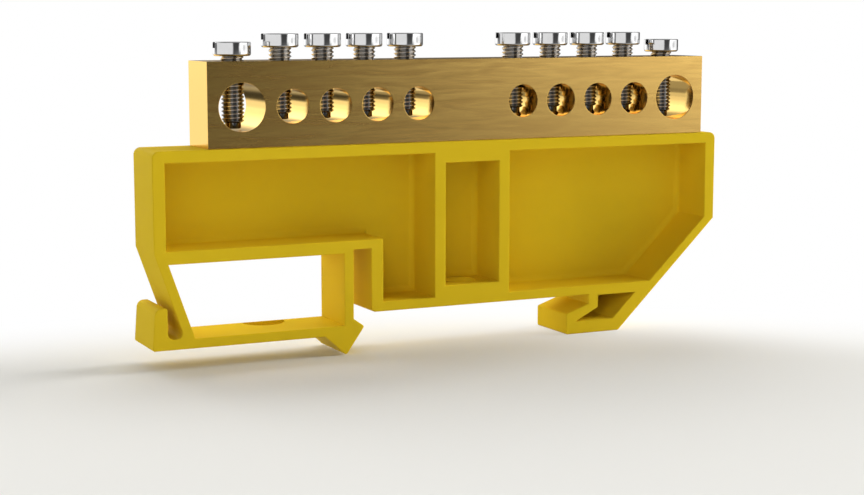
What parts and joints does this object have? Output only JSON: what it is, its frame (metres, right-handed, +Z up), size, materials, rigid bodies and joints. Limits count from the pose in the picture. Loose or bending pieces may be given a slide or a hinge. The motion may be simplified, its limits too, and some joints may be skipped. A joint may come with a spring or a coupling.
{
  "type": "earth terminal bar",
  "caption": "Brass terminal bar with a row of clamp screws over wire holes, on a moulded holder that clips across a mounting rail with a latch and a hook.",
  "frame": {"origin": "under the middle of the whole part, on the plane that its two lowest edges stand on", "axes": "+X along the bar from the latch's end to the hook's end, +Y from the open face of the holder to its closed back, +Z up from the rail to the screws"},
  "size_m": [0.083, 0.0082, 0.0416],
  "materials": {
    "holder_plastic": "satin moulded plastic, plain yellow",
    "bar_brass": "drawn brass with faint streaks along its length",
    "screw_steel": "bright plated steel"
  },
  "bodies": {
    "holder_and_bar": {"holder": "holder_plastic", "brass_bar": "bar_brass", "fixing_screw": "screw_steel"},
    "clamp_screw_01": {"clamp_screw_01": "screw_steel"},
    "clamp_screw_02": {"clamp_screw_02": "screw_steel"},
    "clamp_screw_03": {"clamp_screw_03": "screw_steel"},
    "clamp_screw_04": {"clamp_screw_04": "screw_steel"},
    "clamp_screw_05": {"clamp_screw_05": "screw_steel"},
    "clamp_screw_06": {"clamp_screw_06": "screw_steel"},
    "clamp_screw_07": {"clamp_screw_07": "screw_steel"},
    "clamp_screw_08": {"clamp_screw_08": "screw_steel"},
    "clamp_screw_09": {"clamp_screw_09": "screw_steel"},
    "clamp_screw_10": {"clamp_screw_10": "screw_steel"}
  },
  "joints": [
    {"name": "clamp_screw_01_travel", "type": "slide", "parent": "holder_and_bar", "child": "clamp_screw_01", "axis": [0, 0, 1], "range_m": [0, 0.0058]},
    {"name": "clamp_screw_02_travel", "type": "slide", "parent": "holder_and_bar", "child": "clamp_screw_02", "axis": [0, 0, 1], "range_m": [0, 0.0039]},
    {"name": "clamp_screw_03_travel", "type": "slide", "parent": "holder_and_bar", "child": "clamp_screw_03", "axis": [0, 0, 1], "range_m": [0, 0.0039]},
    {"name": "clamp_screw_04_travel", "type": "slide", "parent": "holder_and_bar", "child": "clamp_screw_04", "axis": [0, 0, 1], "range_m": [0, 0.0039]},
    {"name": "clamp_screw_05_travel", "type": "slide", "parent": "holder_and_bar", "child": "clamp_screw_05", "axis": [0, 0, 1], "range_m": [0, 0.0039]},
    {"name": "clamp_screw_06_travel", "type": "slide", "parent": "holder_and_bar", "child": "clamp_screw_06", "axis": [0, 0, 1], "range_m": [0, 0.0039]},
    {"name": "clamp_screw_07_travel", "type": "slide", "parent": "holder_and_bar", "child": "clamp_screw_07", "axis": [0, 0, 1], "range_m": [0, 0.0039]},
    {"name": "clamp_screw_08_travel", "type": "slide", "parent": "holder_and_bar", "child": "clamp_screw_08", "axis": [0, 0, 1], "range_m": [0, 0.0039]},
    {"name": "clamp_screw_09_travel", "type": "slide", "parent": "holder_and_bar", "child": "clamp_screw_09", "axis": [0, 0, 1], "range_m": [0, 0.0039]},
    {"name": "clamp_screw_10_travel", "type": "slide", "parent": "holder_and_bar", "child": "clamp_screw_10", "axis": [0, 0, 1], "range_m": [0, 0.0058]}
  ]
}
